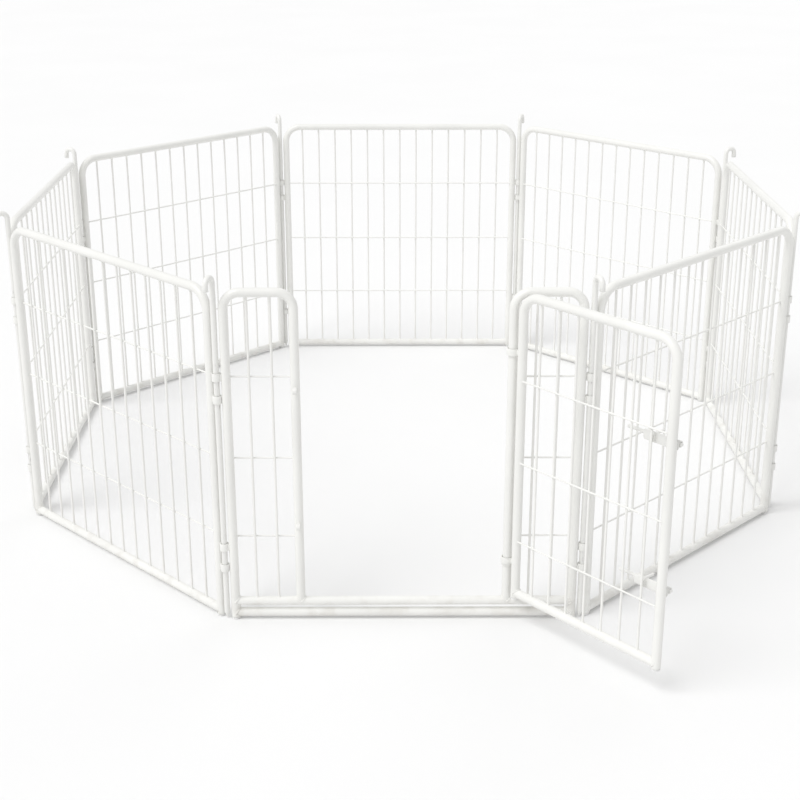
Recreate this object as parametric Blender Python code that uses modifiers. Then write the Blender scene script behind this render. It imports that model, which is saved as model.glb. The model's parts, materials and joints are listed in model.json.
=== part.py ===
"""Pet playpen: eight square tube-and-wire panels pinned together in an octagon, one with a door.

Metres, +Z up. The floor is z = 0. The origin is the middle of the footprint with the door open.
Panels are numbered anticlockwise from above, and each panel's own frame has +X along the panel,
-Y out of the pen and its origin on the floor.
"""

import math

import bmesh
import bpy
from mathutils import Matrix, Vector

# Panel frames
PANEL_SIZE = 0.610
TUBE_RADIUS = 0.008
CORNER_RADIUS = 0.038
BOTTOM_RAIL_HEIGHT = 0.012
POST_FOOT_HEIGHT = 0.0037
POST_TO_ROD = 0.016
WELD_BITE = 0.001

# Infill wires
WIRE_COUNT = 13
WIRE_RADIUS = 0.0022
CROSS_WIRE_HALF_WIDTH = 0.0016
CROSS_WIRE_BITE = 0.0005
CROSS_WIRE_LEVELS = 3
FIT_GAP = 0.0003

# Sleeves and the rods that join the panels
ROD_RADIUS = 0.005
ROD_FOOT_HEIGHT = 0.001
ROD_POINT_LENGTH = 0.012
ROD_POINT_SCALE = 0.3
ROD_STRAIGHT_TOP = 0.618
ROD_HOOK_RADIUS = 0.011
ROD_HOOK_TAIL = 0.010
SLEEVE_BORE_RADIUS = 0.0058
SLEEVE_OUTER_RADIUS = 0.0077
SLEEVE_HEIGHT = 0.014
SLEEVE_WEB_HALF_WIDTH = 0.0025
SLEEVE_WEB_HALF_HEIGHT = 0.006
START_SLEEVE_LEVELS = (0.140, 0.455)
END_SLEEVE_LEVELS = (0.100, 0.415)

# Door panel
BAY_WIDTH = 0.1155
BAY_WIRE_COUNT = 2
BAY_CORNER_RADIUS = 0.028
SILL_HEIGHT = 0.034
STOP_COLLAR_RADIUS = 0.0098
STOP_COLLAR_HEIGHT = 0.004

# Door leaf
LEAF_OPEN_ANGLE = math.radians(131)
LEAF_POST_OFFSET = 0.022
LEAF_REACH = 0.338
LEAF_BOTTOM_RAIL_HEIGHT = 0.058
LEAF_POST_FOOT_HEIGHT = 0.050
LEAF_CORNER_RADIUS = 0.034
LEAF_WIRE_COUNT = 7
HINGE_LOOP_BORE_RADIUS = 0.0091
HINGE_LOOP_OUTER_RADIUS = 0.0113
HINGE_LOOP_HEIGHT = 0.012
HINGE_LOOP_LEVELS = (0.115, 0.500)
HINGE_WEB_HALF_WIDTH = 0.003
HINGE_WEB_HALF_HEIGHT = 0.005

# Door latches
LATCH_LEVELS = {"lower": 0.185, "upper": 0.435}
BOLT_RADIUS = 0.003
BOLT_TIP_PAST_POST = 0.009
BOLT_LENGTH = 0.108
BOLT_HANDLE_LENGTH = 0.026
BOLT_HANDLE_RADIUS = 0.0027
BOLT_HANDLE_FROM_TIP = 0.058
LATCH_EYE_BORE_RADIUS = 0.0035
LATCH_EYE_OUTER_RADIUS = 0.0058
LATCH_EYE_LENGTH = 0.007
LATCH_EYE_INSET = 0.001
LATCH_PLATE_THICKNESS = 0.002
LATCH_PLATE_LENGTH = 0.068
LATCH_PLATE_HEIGHT = 0.018
LATCH_PLATE_PAST_POST = 0.006
LATCH_TAB_HALF_WIDTH = 0.003
LATCH_TAB_HALF_HEIGHT = 0.006
KEEPER_WEB_HALF_LENGTH = 0.003
KEEPER_WEB_HALF_HEIGHT = 0.0045

# Foot plugs
PLUG_HEAD_RADIUS = 0.0078
PLUG_HEAD_HEIGHT = 0.0034
PLUG_EDGE = 0.0008
PLUG_STEM_RADIUS = 0.0050
PLUG_STEM_TOP = 0.0140
PLUG_BORE_RADIUS = 0.0054
PLUG_BORE_TOP = 0.0160
BORE_CUT_MARGIN = 0.001

# Facets
TUBE_SIDES = 10
ROD_SIDES = 6
WIRE_SIDES = 4
RING_SIDES = 8
ARC_STEPS = 3
HOOK_STEPS = 6
MERGE_DISTANCE = 0.00001
CREASE_ANGLE = math.radians(50)
PIVOT_DISPLAY_SIZE = 0.03

PANEL_NAMES = (
    "door_panel",
    "front_right",
    "right",
    "back_right",
    "back",
    "back_left",
    "left",
    "front_left",
)

# Worked out from the sizes above
PANEL_COUNT = len(PANEL_NAMES)
TURN = 2 * math.pi / PANEL_COUNT
POST_X = PANEL_SIZE / 2 - TUBE_RADIUS
SIDE = 2 * (POST_X + POST_TO_ROD)
APOTHEM = SIDE / 2 / math.tan(TURN / 2)
TOP_RAIL_HEIGHT = PANEL_SIZE - TUBE_RADIUS
JAMB_X = POST_X - BAY_WIDTH
LEAF_STANDS_OUT = LEAF_REACH * math.sin(LEAF_OPEN_ANGLE) + TUBE_RADIUS
HOOK_STANDS_OUT = (2 * ROD_HOOK_RADIUS + ROD_RADIUS) * math.cos(TURN / 2)
PEN_CENTRE_Y = (LEAF_STANDS_OUT - HOOK_STANDS_OUT) / 2
LEVEL_STEP = (TOP_RAIL_HEIGHT - BOTTOM_RAIL_HEIGHT) / (CROSS_WIRE_LEVELS + 1)
CROSS_LEVELS = [BOTTOM_RAIL_HEIGHT + LEVEL_STEP * (i + 1) for i in range(CROSS_WIRE_LEVELS)]
LATCH_PLATE_Y = TUBE_RADIUS + FIT_GAP
BOLT_Y = LATCH_PLATE_Y + LATCH_PLATE_THICKNESS + LATCH_EYE_OUTER_RADIUS - FIT_GAP


def clear_scene():
    """Remove whatever the scene holds."""
    for item in list(bpy.data.objects):
        bpy.data.objects.remove(item, do_unlink=True)


def finish_material(name, colour, roughness, metallic):
    """Make a plain surface finish."""
    material = bpy.data.materials.new(name)
    material.use_nodes = True
    shader = material.node_tree.nodes["Principled BSDF"]
    shader.inputs["Base Color"].default_value = (*colour, 1)
    shader.inputs["Roughness"].default_value = roughness
    shader.inputs["Metallic"].default_value = metallic
    return material


def bench_object(mesh):
    """Lay a mesh in the scene as a working object."""
    item = bpy.data.objects.new("bench", mesh)
    bpy.context.scene.collection.objects.link(item)
    return item


def evaluated_mesh(item, name):
    """Return an object's mesh with its modifiers applied, and remove the object."""
    bpy.context.view_layer.update()
    depsgraph = bpy.context.evaluated_depsgraph_get()
    mesh = bpy.data.meshes.new_from_object(item.evaluated_get(depsgraph))
    mesh.name = name
    bpy.data.objects.remove(item, do_unlink=True)
    work = bmesh.new()
    work.from_mesh(mesh)
    bmesh.ops.remove_doubles(work, verts=work.verts, dist=MERGE_DISTANCE)
    work.to_mesh(mesh)
    work.free()
    return mesh


def moved(mesh, matrix):
    """Turn and move a mesh in its own space."""
    mesh.transform(matrix)
    return mesh


def tube(points, radius, sides=TUBE_SIDES, tip_scale=1.0):
    """Make a round bar along points. tip_scale narrows its first point."""
    curve = bpy.data.curves.new("tube", "CURVE")
    curve.dimensions = "3D"
    curve.bevel_depth = radius
    curve.bevel_resolution = (sides - 4) // 2
    curve.use_fill_caps = True
    spline = curve.splines.new("POLY")
    spline.points.add(len(points) - 1)
    for point, place in zip(spline.points, points):
        point.co = (*place, 1)
    spline.points[0].radius = tip_scale
    return evaluated_mesh(bench_object(curve), "tube")


def block(low, high):
    """Make a box from its lowest and highest corners."""
    low = Vector(low)
    size = Vector(high) - low
    work = bmesh.new()
    bmesh.ops.create_cube(work, size=1)
    place = Matrix.Translation(low + size / 2) @ Matrix.Diagonal(size.to_4d())
    bmesh.ops.transform(work, matrix=place, verts=work.verts)
    mesh = bpy.data.meshes.new("block")
    work.to_mesh(mesh)
    work.free()
    return mesh


def cylinder(radius, low_z, high_z, sides, x=0.0):
    """Make an upright round bar."""
    work = bmesh.new()
    bmesh.ops.create_cone(
        work,
        cap_ends=True,
        segments=sides,
        radius1=radius,
        radius2=radius,
        depth=high_z - low_z,
        matrix=Matrix.Translation((x, 0, (low_z + high_z) / 2)),
    )
    mesh = bpy.data.meshes.new("cylinder")
    work.to_mesh(mesh)
    work.free()
    return mesh


def turned(profile, closed, sides):
    """Turn a profile of (radius, height) points about Z. It runs down the outer side."""
    edges = [(i, i + 1) for i in range(len(profile) - 1)]
    if closed:
        edges.append((len(profile) - 1, 0))
    outline = bpy.data.meshes.new("turned")
    outline.from_pydata([(radius, 0, height) for radius, height in profile], edges, [])
    item = bench_object(outline)
    screw = item.modifiers.new("turn", "SCREW")
    screw.steps = sides
    screw.render_steps = sides
    screw.use_merge_vertices = True
    screw.merge_threshold = MERGE_DISTANCE
    return evaluated_mesh(item, "turned")


def ring(bore_radius, outer_radius, height, level=0.0):
    """Make a short sleeve about Z, its middle at the level."""
    low = level - height / 2
    high = level + height / 2
    profile = [(outer_radius, high), (outer_radius, low), (bore_radius, low), (bore_radius, high)]
    return turned(profile, True, RING_SIDES)


def joined(name, pieces, cutters=()):
    """Weld overlapping solids into one body, then cut the bores out of it."""
    body = bench_object(pieces[0])
    helpers = []
    steps = [("UNION", piece) for piece in pieces[1:]]
    steps += [("DIFFERENCE", cutter) for cutter in cutters]
    for operation, mesh in steps:
        helper = bench_object(mesh)
        helpers.append(helper)
        boolean = body.modifiers.new(operation.lower(), "BOOLEAN")
        boolean.operation = operation
        boolean.solver = "EXACT"
        boolean.object = helper
    mesh = evaluated_mesh(body, name)
    for helper in helpers:
        bpy.data.objects.remove(helper, do_unlink=True)
    return mesh


def merged(meshes):
    """Put meshes that don't touch into one mesh."""
    work = bmesh.new()
    for mesh in meshes:
        work.from_mesh(mesh)
    result = bpy.data.meshes.new("merged")
    work.to_mesh(result)
    work.free()
    return result


def smooth(mesh):
    """Shade the round sides smooth and keep the real edges crisp."""
    mesh.shade_smooth()
    mesh.set_sharp_from_angle(angle=CREASE_ANGLE)


def arch_points(left_x, right_x, foot_height, corner_radius):
    """Points of a tube bent over at both top corners, from one foot to the other."""
    points = [(left_x, 0, foot_height)]
    centres = ((left_x + corner_radius, math.pi), (right_x - corner_radius, math.pi / 2))
    for centre_x, start in centres:
        for step in range(ARC_STEPS + 1):
            angle = start - step * math.pi / 2 / ARC_STEPS
            x = centre_x + corner_radius * math.cos(angle)
            z = TOP_RAIL_HEIGHT - corner_radius + corner_radius * math.sin(angle)
            points.append((x, 0, z))
    points.append((right_x, 0, foot_height))
    return points


def rail(left_x, right_x, height):
    """A straight tube between two posts."""
    return tube([(left_x, 0, height), (right_x, 0, height)], TUBE_RADIUS)


def rod_sleeve(side, level):
    """A sleeve and the web that welds it to the post at side -1 or +1 of the panel."""
    rod_x = side * SIDE / 2
    post_x = side * POST_X
    sleeve = ring(SLEEVE_BORE_RADIUS, SLEEVE_OUTER_RADIUS, SLEEVE_HEIGHT, level)
    sleeve = moved(sleeve, Matrix.Translation((rod_x, 0, 0)))
    near_x = rod_x - side * (SLEEVE_BORE_RADIUS + SLEEVE_OUTER_RADIUS) / 2
    far_x = post_x + side * (TUBE_RADIUS - WELD_BITE)
    web = block(
        (min(near_x, far_x), -SLEEVE_WEB_HALF_WIDTH, level - SLEEVE_WEB_HALF_HEIGHT),
        (max(near_x, far_x), SLEEVE_WEB_HALF_WIDTH, level + SLEEVE_WEB_HALF_HEIGHT),
    )
    return [sleeve, web]


def rod_sleeves():
    """All four rod sleeves of a panel."""
    pieces = []
    for level in START_SLEEVE_LEVELS:
        pieces += rod_sleeve(-1, level)
    for level in END_SLEEVE_LEVELS:
        pieces += rod_sleeve(1, level)
    return pieces


def plug_bores(post_places, foot_height):
    """The cutters that open the posts' lower ends for their plugs."""
    low = foot_height - BORE_CUT_MARGIN
    high = foot_height - POST_FOOT_HEIGHT + PLUG_BORE_TOP
    return [cylinder(PLUG_BORE_RADIUS, low, high, RING_SIDES, x) for x in post_places]


def panel_frame_mesh():
    """A plain panel: one tube bent over the top, a bottom rail and the rod sleeves."""
    pieces = [tube(arch_points(-POST_X, POST_X, POST_FOOT_HEIGHT, CORNER_RADIUS), TUBE_RADIUS)]
    pieces.append(rail(-POST_X, POST_X, BOTTOM_RAIL_HEIGHT))
    pieces += rod_sleeves()
    return joined("panel_frame", pieces, plug_bores((-POST_X, POST_X), POST_FOOT_HEIGHT))


def door_panel_frame_mesh():
    """The door panel: a bent bay frame each side of the doorway, a bottom rail and a sill."""
    pieces = []
    for side in (-1, 1):
        outer = arch_points(-POST_X, -JAMB_X, POST_FOOT_HEIGHT, BAY_CORNER_RADIUS)
        outer[-1] = (-JAMB_X, 0, BOTTOM_RAIL_HEIGHT)
        pieces.append(tube([(-side * x, y, z) for x, y, z in outer], TUBE_RADIUS))
    pieces.append(rail(-POST_X, POST_X, BOTTOM_RAIL_HEIGHT))
    pieces.append(rail(-POST_X, POST_X, SILL_HEIGHT))
    collar_top = HINGE_LOOP_LEVELS[0] - HINGE_LOOP_HEIGHT / 2 - FIT_GAP
    collar_low = collar_top - STOP_COLLAR_HEIGHT
    pieces.append(cylinder(STOP_COLLAR_RADIUS, collar_low, collar_top, RING_SIDES, JAMB_X))
    pieces += rod_sleeves()
    bores = plug_bores((-POST_X, POST_X), POST_FOOT_HEIGHT)
    return joined("door_panel_frame", pieces, bores)


def leaf_frame_mesh():
    """The door leaf's tube frame with the hinge loops that ride on the jamb."""
    arch = arch_points(LEAF_POST_OFFSET, LEAF_REACH, LEAF_POST_FOOT_HEIGHT, LEAF_CORNER_RADIUS)
    pieces = [tube(arch, TUBE_RADIUS)]
    pieces.append(rail(LEAF_POST_OFFSET, LEAF_REACH, LEAF_BOTTOM_RAIL_HEIGHT))
    web_start = (HINGE_LOOP_BORE_RADIUS + HINGE_LOOP_OUTER_RADIUS) / 2
    web_end = LEAF_POST_OFFSET - TUBE_RADIUS + WELD_BITE
    for level in HINGE_LOOP_LEVELS:
        pieces.append(ring(HINGE_LOOP_BORE_RADIUS, HINGE_LOOP_OUTER_RADIUS, HINGE_LOOP_HEIGHT, level))
        web_low = (web_start, -HINGE_WEB_HALF_WIDTH, level - HINGE_WEB_HALF_HEIGHT)
        web_high = (web_end, HINGE_WEB_HALF_WIDTH, level + HINGE_WEB_HALF_HEIGHT)
        pieces.append(block(web_low, web_high))
    bores = plug_bores((LEAF_POST_OFFSET, LEAF_REACH), LEAF_POST_FOOT_HEIGHT)
    return joined("leaf_frame", pieces, bores)


def wire_grid_mesh(name, left_x, right_x, count, low_z, inner_side):
    """Upright wires between two posts, with the cross wires welded behind them."""
    pitch = (right_x - left_x) / (count + 1)
    high_z = TOP_RAIL_HEIGHT - TUBE_RADIUS - FIT_GAP
    low_z = low_z + TUBE_RADIUS + FIT_GAP
    half_facet = Matrix.Rotation(math.pi / WIRE_SIDES, 4, "Z")
    uprights = []
    for i in range(count):
        wire = moved(cylinder(WIRE_RADIUS, low_z, high_z, WIRE_SIDES), half_facet)
        uprights.append(moved(wire, Matrix.Translation((left_x + pitch * (i + 1), 0, 0))))
    flat_y = WIRE_RADIUS * math.cos(math.pi / WIRE_SIDES)
    cross_y = inner_side * (flat_y - CROSS_WIRE_BITE + CROSS_WIRE_HALF_WIDTH)
    reach = TUBE_RADIUS + FIT_GAP
    crossings = []
    for level in CROSS_LEVELS:
        low = (left_x + reach, cross_y - CROSS_WIRE_HALF_WIDTH, level - CROSS_WIRE_HALF_WIDTH)
        high = (right_x - reach, cross_y + CROSS_WIRE_HALF_WIDTH, level + CROSS_WIRE_HALF_WIDTH)
        crossings.append(block(low, high))
    return joined(name, [merged(uprights), merged(crossings)])


def rod_mesh():
    """A joining rod: pointed foot, straight shank and a hook bent over at the top."""
    points = [
        (0, 0, ROD_FOOT_HEIGHT),
        (0, 0, ROD_FOOT_HEIGHT + ROD_POINT_LENGTH),
        (0, 0, ROD_STRAIGHT_TOP),
    ]
    for step in range(1, HOOK_STEPS + 1):
        angle = math.pi - step * math.pi / HOOK_STEPS
        x = ROD_HOOK_RADIUS * (1 + math.cos(angle))
        points.append((x, 0, ROD_STRAIGHT_TOP + ROD_HOOK_RADIUS * math.sin(angle)))
    points.append((2 * ROD_HOOK_RADIUS, 0, ROD_STRAIGHT_TOP - ROD_HOOK_TAIL))
    return tube(points, ROD_RADIUS, ROD_SIDES, tip_scale=ROD_POINT_SCALE)


def plug_mesh():
    """A foot plug: a low button with a stem that pushes into the post."""
    profile = [
        (0, PLUG_STEM_TOP),
        (PLUG_STEM_RADIUS, PLUG_STEM_TOP),
        (PLUG_STEM_RADIUS, PLUG_HEAD_HEIGHT),
        (PLUG_HEAD_RADIUS, PLUG_HEAD_HEIGHT),
        (PLUG_HEAD_RADIUS, PLUG_EDGE),
        (PLUG_HEAD_RADIUS - PLUG_EDGE, 0),
        (0, 0),
    ]
    mesh = turned(profile, False, RING_SIDES)
    mesh.name = "foot_plug"
    return mesh


def latch_eye(x, y):
    """A short sleeve whose bore runs along X."""
    eye = ring(LATCH_EYE_BORE_RADIUS, LATCH_EYE_OUTER_RADIUS, LATCH_EYE_LENGTH)
    place = Matrix.Translation((x, y, 0)) @ Matrix.Rotation(math.pi / 2, 4, "Y")
    return moved(eye, place)


def latch_bracket_mesh():
    """The plate on the door leaf with the two eyes that the bolt slides in."""
    right_x = LEAF_REACH + LATCH_PLATE_PAST_POST
    left_x = right_x - LATCH_PLATE_LENGTH
    half_height = LATCH_PLATE_HEIGHT / 2
    plate_front = LATCH_PLATE_Y + LATCH_PLATE_THICKNESS
    plate = block((left_x, LATCH_PLATE_Y, -half_height), (right_x, plate_front, half_height))
    wire_x = LEAF_REACH - (LEAF_REACH - LEAF_POST_OFFSET) / (LEAF_WIRE_COUNT + 1)
    tab_low = (wire_x - LATCH_TAB_HALF_WIDTH, WIRE_RADIUS + FIT_GAP, -LATCH_TAB_HALF_HEIGHT)
    tab_high = (wire_x + LATCH_TAB_HALF_WIDTH, LATCH_PLATE_Y + WELD_BITE, LATCH_TAB_HALF_HEIGHT)
    tab = block(tab_low, tab_high)
    eye_inset = LATCH_EYE_LENGTH / 2 + LATCH_EYE_INSET
    eyes = [latch_eye(x, BOLT_Y) for x in (left_x + eye_inset, right_x - eye_inset)]
    return joined("latch_bracket", [plate, tab, *eyes])


def latch_bolt_mesh():
    """The bolt, a round bar along X with a handle standing out of it."""
    tip = tube([(0, 0, 0), (-BOLT_LENGTH, 0, 0)], BOLT_RADIUS, ROD_SIDES)
    handle_x = -BOLT_HANDLE_FROM_TIP
    handle_low = (handle_x, 0, 0)
    handle_high = (handle_x, BOLT_HANDLE_LENGTH, 0)
    handle = tube([handle_low, handle_high], BOLT_HANDLE_RADIUS, ROD_SIDES)
    return joined("latch_bolt", [tip, handle])


def latch_keeper_mesh():
    """The eye on the jamb that takes the bolt's tip."""
    eye = latch_eye(0, -BOLT_Y)
    web_front = -BOLT_Y + LATCH_EYE_BORE_RADIUS + WELD_BITE
    web = block(
        (-KEEPER_WEB_HALF_LENGTH, web_front, -KEEPER_WEB_HALF_HEIGHT),
        (KEEPER_WEB_HALF_LENGTH, -LATCH_PLATE_Y, KEEPER_WEB_HALF_HEIGHT),
    )
    return joined("latch_keeper", [eye, web])


def place(collection, name, mesh, parent, location, material, rotation=0.0):
    """Add a finished piece to the model."""
    item = bpy.data.objects.new(name, mesh)
    collection.objects.link(item)
    item.parent = parent
    item.location = location
    item.rotation_euler.z = rotation
    if not mesh.materials:
        mesh.materials.append(material)
        smooth(mesh)
    return item


def pivot(collection, name, parent, location, rotation):
    """Add an empty on a joint's axis."""
    item = bpy.data.objects.new(name, None)
    collection.objects.link(item)
    item.empty_display_size = PIVOT_DISPLAY_SIZE
    item.parent = parent
    item.location = location
    item.rotation_euler.z = rotation
    return item


def panel_pivots(collection):
    """The panels' joint empties, with each panel's middle along its own +X."""
    door = pivot(collection, "door_panel_base", None, (0, PEN_CENTRE_Y - APOTHEM, 0), 0)
    pivots = {PANEL_NAMES[0]: (door, 0.0)}
    for numbers, side in (((1, 2, 3, 4), 1), ((7, 6, 5), -1)):
        parent = door
        step = side * SIDE / 2
        for number in numbers:
            name = PANEL_NAMES[number]
            parent = pivot(collection, name + "_hinge", parent, (step, 0, 0), side * TURN)
            pivots[name] = (parent, side * SIDE / 2)
            step = side * SIDE
    return pivots


def add_panels(collection, pivots, coat, wire_coat, rod_coat, plastic):
    """Place every panel's frame, wires, plugs and the rod at its start corner."""
    plain_frame = panel_frame_mesh()
    plain_wires = wire_grid_mesh(
        "panel_wires", -POST_X, POST_X, WIRE_COUNT, BOTTOM_RAIL_HEIGHT, 1
    )
    plug = plug_mesh()
    rod = rod_mesh()
    hook_direction = -math.pi / 2 - TURN / 2
    for number, name in enumerate(PANEL_NAMES):
        parent, middle = pivots[name]
        previous = PANEL_NAMES[number - 1].replace("_panel", "")
        this = name.replace("_panel", "")
        frame = door_panel_frame_mesh() if number == 0 else plain_frame
        place(collection, name + "_frame", frame, parent, (middle, 0, 0), coat)
        if number:
            place(collection, name + "_wires", plain_wires, parent, (middle, 0, 0), wire_coat)
        for side, side_name in ((-1, "start"), (1, "end")):
            foot = (middle + side * POST_X, 0, 0)
            place(collection, f"{name}_{side_name}_foot", plug, parent, foot, plastic)
        corner = (middle - SIDE / 2, 0, 0)
        rod_name = f"rod_{previous}_to_{this}"
        place(collection, rod_name, rod, parent, corner, rod_coat, hook_direction)


def add_door(collection, door_panel, coat, wire_coat, latch_coat, plastic):
    """Place the bays' wires, the leaf, its plugs and the two latches."""
    for side, name in ((-1, "left"), (1, "right")):
        edges = sorted((side * POST_X, side * JAMB_X))
        grid = wire_grid_mesh(f"{name}_bay_wires", *edges, BAY_WIRE_COUNT, SILL_HEIGHT, 1)
        place(collection, f"door_panel_{name}_wires", grid, door_panel, (0, 0, 0), wire_coat)
    hinge = pivot(
        collection, "door_leaf_hinge", door_panel, (JAMB_X, 0, 0), math.pi + LEAF_OPEN_ANGLE
    )
    place(collection, "door_leaf_frame", leaf_frame_mesh(), hinge, (0, 0, 0), coat)
    leaf_wires = wire_grid_mesh(
        "leaf_wires", LEAF_POST_OFFSET, LEAF_REACH, LEAF_WIRE_COUNT, LEAF_BOTTOM_RAIL_HEIGHT, -1
    )
    place(collection, "door_leaf_wires", leaf_wires, hinge, (0, 0, 0), wire_coat)
    plug = bpy.data.meshes["foot_plug"]
    for x, name in ((LEAF_POST_OFFSET, "hinge"), (LEAF_REACH, "latch")):
        foot = (x, 0, LEAF_POST_FOOT_HEIGHT - POST_FOOT_HEIGHT)
        place(collection, f"door_leaf_{name}_foot", plug, hinge, foot, plastic)
    bracket = latch_bracket_mesh()
    bolt = latch_bolt_mesh()
    keeper = latch_keeper_mesh()
    tip_x = LEAF_REACH + BOLT_TIP_PAST_POST
    for name, level in LATCH_LEVELS.items():
        bracket_place = (0, 0, level)
        place(collection, f"{name}_latch_bracket", bracket, hinge, bracket_place, latch_coat)
        place(collection, f"{name}_latch_bolt", bolt, hinge, (tip_x, BOLT_Y, level), latch_coat)
        keeper_place = (-JAMB_X, 0, level)
        place(collection, f"{name}_latch_keeper", keeper, door_panel, keeper_place, latch_coat)


clear_scene()
model = bpy.data.collections.new("pet_playpen")
bpy.context.scene.collection.children.link(model)
frame_coat = finish_material("white_powder_coat_tube", (0.86, 0.86, 0.85), 0.42, 0.0)
infill_coat = finish_material("white_powder_coat_wire", (0.88, 0.88, 0.87), 0.45, 0.0)
joint_rod_coat = finish_material("white_powder_coat_rod", (0.84, 0.84, 0.83), 0.40, 0.0)
latch_finish = finish_material("white_powder_coat_latch", (0.82, 0.82, 0.81), 0.38, 0.0)
plug_plastic = finish_material("white_foot_plastic", (0.80, 0.80, 0.79), 0.55, 0.0)
panel_bases = panel_pivots(model)
add_panels(model, panel_bases, frame_coat, infill_coat, joint_rod_coat, plug_plastic)
door_base = panel_bases[PANEL_NAMES[0]][0]
add_door(model, door_base, frame_coat, infill_coat, latch_finish, plug_plastic)
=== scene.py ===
"""A white pet playpen: eight tube-and-wire panels pinned into an octagon, its door open."""

import json
import math

import bpy
import numpy as np
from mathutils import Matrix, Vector


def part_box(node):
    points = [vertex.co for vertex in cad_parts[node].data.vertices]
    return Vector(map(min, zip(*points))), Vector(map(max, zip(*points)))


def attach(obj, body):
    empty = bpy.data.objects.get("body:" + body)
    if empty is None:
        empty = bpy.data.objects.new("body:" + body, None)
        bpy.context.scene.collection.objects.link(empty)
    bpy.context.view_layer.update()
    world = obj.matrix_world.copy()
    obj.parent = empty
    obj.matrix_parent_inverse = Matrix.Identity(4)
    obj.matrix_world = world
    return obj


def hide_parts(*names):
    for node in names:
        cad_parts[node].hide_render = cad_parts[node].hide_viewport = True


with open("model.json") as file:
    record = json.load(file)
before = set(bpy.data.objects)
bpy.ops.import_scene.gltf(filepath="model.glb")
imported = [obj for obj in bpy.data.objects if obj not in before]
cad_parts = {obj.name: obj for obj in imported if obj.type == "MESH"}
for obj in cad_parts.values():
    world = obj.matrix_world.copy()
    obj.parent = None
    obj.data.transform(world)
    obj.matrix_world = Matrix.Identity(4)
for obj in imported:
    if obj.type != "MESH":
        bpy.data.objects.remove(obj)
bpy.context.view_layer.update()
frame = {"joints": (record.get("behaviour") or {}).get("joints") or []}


# ---- Bent tube frames of the plain panels -----------------------------------------------------
# Each is one length of 16 mm steel tube bent over both top corners, with a straight bottom rail
# coped to the posts and welded all round, then dipped and powder coated white after welding.
# All are made in one jig, so each is drawn in its own axes: along it, into the pen, and up.

PLAIN_PANELS = ("front_right", "right", "back_right", "back", "back_left", "left", "front_left")
PANELS = ("door_panel", *PLAIN_PANELS)


def middle(node):
    """The middle of a frame node's box."""
    low, high = (np.array(corner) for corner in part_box(node))
    return (low + high) / 2


def standing_axes(first_foot, last_foot):
    """Origin halfway between two feet, and unit axes along, across and up.

    Across is along turned a quarter to the left.
    """
    first, last = middle(first_foot), middle(last_foot)
    origin = (first + last) / 2
    origin[2] = 0.0
    along = (last - first) / np.linalg.norm(last - first)
    return origin, np.array([along, [-along[1], along[0], 0.0], [0.0, 0.0, 1.0]])


panel_axes = {name: standing_axes(name + "_start_foot", name + "_end_foot") for name in PANELS}
joint = {item["name"]: item for item in frame["joints"]}
up_axis = np.array([0.0, 0.0, 1.0])
frame_low, frame_high = (np.array(corner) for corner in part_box("back_frame"))
tube_radius = (frame_high[1] - frame_low[1]) / 2
top_rail_height = frame_high[2] - tube_radius
post_reach = np.linalg.norm(middle("back_end_foot") - middle("back_start_foot")) / 2
corner_reach = np.linalg.norm(
    np.array(joint["right_panel_hinge"]["pos_m"]) - np.array(joint["pen_fold"]["pos_m"])
) / 2

BOTTOM_RAIL_HEIGHT = 0.012
POST_END_HEIGHT = 0.0037
PANEL_CORNER_RADIUS = 0.038
TUBE_WALL = 0.0008
TUBE_LIP = 0.0005
BORE_DEPTH = 0.010
BORE_CAP_SHARE = 0.1
TUBE_SIDES = 40
BEND_STEPS = 18
BEND_FLATTENING = 0.035
RAIL_COPE = 0.002
WELD_RADIUS = 0.0017
WELD_RIPPLES = 26
WELD_RIPPLE_DEPTH = 0.10
WELD_SEAM_STEPS = 64
WELD_BEAD_SIDES = 9
CREASE_ANGLE = math.radians(42)


def bent_line(start, heading, runs):
    """Centres, directions and bend shares along a flat line of runs (length, turn, steps).

    The heading turns evenly with length along a run, so each run is straight or a circular arc. The
    bend share goes from 0 to 1 along each arc and is 0 on straight runs.
    """
    place = np.array(start, float)
    centres, headings, bends = [place[None]], [np.array([heading])], [np.zeros(1)]
    for length, turn, steps in runs:
        share = np.linspace(0.0, 1.0, steps + 1)[1:]
        angle = heading + turn * share
        if turn:
            radius = length / turn
            step_x = radius * (np.sin(angle) - math.sin(heading))
            step_z = radius * (math.cos(heading) - np.cos(angle))
        else:
            step_x = length * share * math.cos(heading)
            step_z = length * share * math.sin(heading)
        centres.append(place + np.stack([step_x, step_z], -1))
        headings.append(angle)
        bends.append(share * bool(turn))
        place = centres[-1][-1]
        heading += turn
    centres, headings = np.concatenate(centres), np.concatenate(headings)
    flat = np.zeros(len(headings))
    points = np.stack([centres[:, 0], flat, centres[:, 1]], -1)
    directions = np.stack([np.cos(headings), flat, np.sin(headings)], -1)
    return points, directions, np.concatenate(bends)


def carried_ring(points, directions, radii, sides, side=(0.0, 1.0, 0.0), squeeze=None):
    """A round profile carried along a line: centre + r (s cos a N + sin a B).

    B is the fixed side axis, N = B x direction, and s squeezes the tube in the plane of the bend.
    """
    side = np.array(side, float)
    normal = np.cross(side, directions)
    angle = np.linspace(0.0, 2 * math.pi, sides, endpoint=False)
    radii = np.broadcast_to(radii, len(points))
    squeeze = np.ones(len(points)) if squeeze is None else squeeze
    across = (radii * squeeze)[:, None, None] * np.cos(angle)[None, :, None] * normal[:, None, :]
    return points[:, None, :] + across + radii[:, None, None] * np.sin(angle)[None, :, None] * side


def volume_share(first, second, third):
    """The sum of the triple products of corners: six times the volume that they span."""
    return (first * np.cross(second, third)).sum()


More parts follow.
